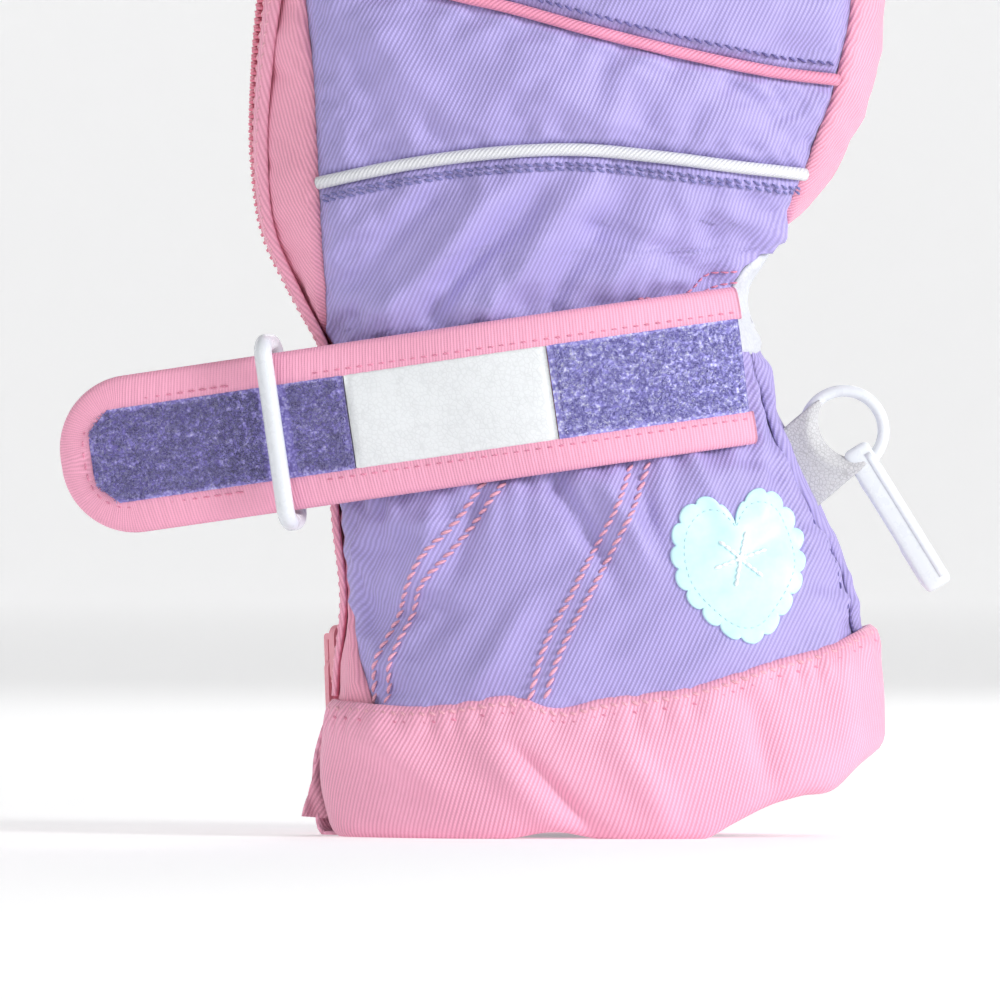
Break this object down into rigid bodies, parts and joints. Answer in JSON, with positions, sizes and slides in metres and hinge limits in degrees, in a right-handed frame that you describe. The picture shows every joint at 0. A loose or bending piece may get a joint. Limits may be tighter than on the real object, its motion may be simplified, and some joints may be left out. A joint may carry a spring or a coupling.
{
  "type": "ski mitten",
  "caption": "Child's padded ski mitten with a gauntlet cuff, side zip, wrist strap through a ring, and a glove clip on a leather tab.",
  "frame": {"origin": "middle of the floor area of the object's box, at the hem's lowest edge, with the mitten standing on its cuff", "axes": "+Z to the fingertips, -Y out of the back of the hand, +X to the thumb side"},
  "size_m": [0.1988, 0.0719, 0.252],
  "materials": {
    "lavender_twill": "twill weave, slight sheen",
    "pink_twill": "twill weave, slight sheen",
    "pink_piping": "twill covered cord",
    "white_piping": "covered cord",
    "palm_leather": "pebbled faux leather",
    "white_leather": "crackled faux leather",
    "tab_leather": "pebbled faux leather",
    "pink_webbing": "plain webbing",
    "pink_grosgrain": "ribbed grosgrain",
    "loop_pile": "napped loop pile",
    "hook_tape": "hook tape",
    "wadding": "polyester wadding",
    "insert_film": "waterproof film",
    "fleece": "brushed fleece",
    "elastic": "flat elastic",
    "heart_film": "transfer film",
    "white_plastic": "moulded acetal",
    "zip_tape": "zip tape",
    "zip_coil": "nylon coil",
    "zip_enamel": "enamelled zinc"
  },
  "bodies": {
    "mitten": {"back_hand_panel": "lavender_twill", "back_knuckle_panel": "lavender_twill", "back_wadding": "wadding", "back_wrist_panel": "lavender_twill", "clip_tab": "tab_leather", "fleece_lining": "fleece", "gauntlet_back_panel": "lavender_twill", "gauntlet_palm_panel": "lavender_twill", "heart_patch": "heart_film", "hem_band": "pink_twill", "palm_leather": "palm_leather", "palm_wadding": "wadding", "pink_piping": "pink_piping", "ring_tab": "pink_webbing", "side_band": "pink_twill", "strap_base_binding": "pink_grosgrain", "strap_base_loop_tape": "loop_pile", "strap_base_web": "pink_webbing", "strap_hook_tape": "hook_tape", "strap_leather_panel": "white_leather", "thumb_lining": "fleece", "thumb_shell": "palm_leather", "thumb_wadding": "wadding", "waterproof_insert": "insert_film", "white_piping": "white_piping", "wrist_elastic": "elastic", "wrist_leather_patch": "white_leather", "zip_coil": "zip_coil", "zip_gusset": "pink_twill", "zip_stops": "zip_coil", "zip_tape": "zip_tape"},
    "strap_flap": {"strap_tip_web": "pink_webbing", "strap_tip_binding": "pink_grosgrain", "strap_tip_loop_tape": "loop_pile"},
    "ring": {"strap_ring": "white_plastic"},
    "slider": {"zip_slider": "zip_enamel"},
    "pull": {"zip_pull": "zip_enamel"},
    "clip": {"clip_hook": "white_plastic"},
    "gate": {"clip_gate": "white_plastic"}
  },
  "joints": [
    {"name": "strap_fold", "type": "hinge", "parent": "mitten", "child": "strap_flap", "pos_m": [-0.05215, -0.02448, 0.08979], "axis": [-0.1426, 0, 0.9898], "range_deg": [0, 182]},
    {"name": "ring_swing", "type": "hinge", "parent": "mitten", "child": "ring", "pos_m": [-0.04963, -0.01429, 0.09015], "axis": [-0.1426, 0, 0.9898], "range_deg": [-6, 6]},
    {"name": "zip_run", "type": "slide", "parent": "mitten", "child": "slider", "axis": [-0.0361, -0.0641, 0.9973], "range_m": [0, 0.03]},
    {"name": "pull_flip", "type": "hinge", "parent": "slider", "child": "pull", "pos_m": [-0.03898, 0.00496, 0.0386], "axis": [0.6621, 0.746, 0.0719], "range_deg": [0, 120]},
    {"name": "clip_turn", "type": "hinge", "parent": "mitten", "child": "clip", "pos_m": [0.0746, -0.0093, 0.0904], "axis": [0, -1, 0], "range_deg": [0, 125]},
    {"name": "gate_press", "type": "hinge", "parent": "clip", "child": "gate", "pos_m": [0.0828, -0.0009, 0.07713], "axis": [-0.8508, 0, -0.5255], "range_deg": [0, 18], "stiffness_Nm_per_rad": 0.02}
  ]
}
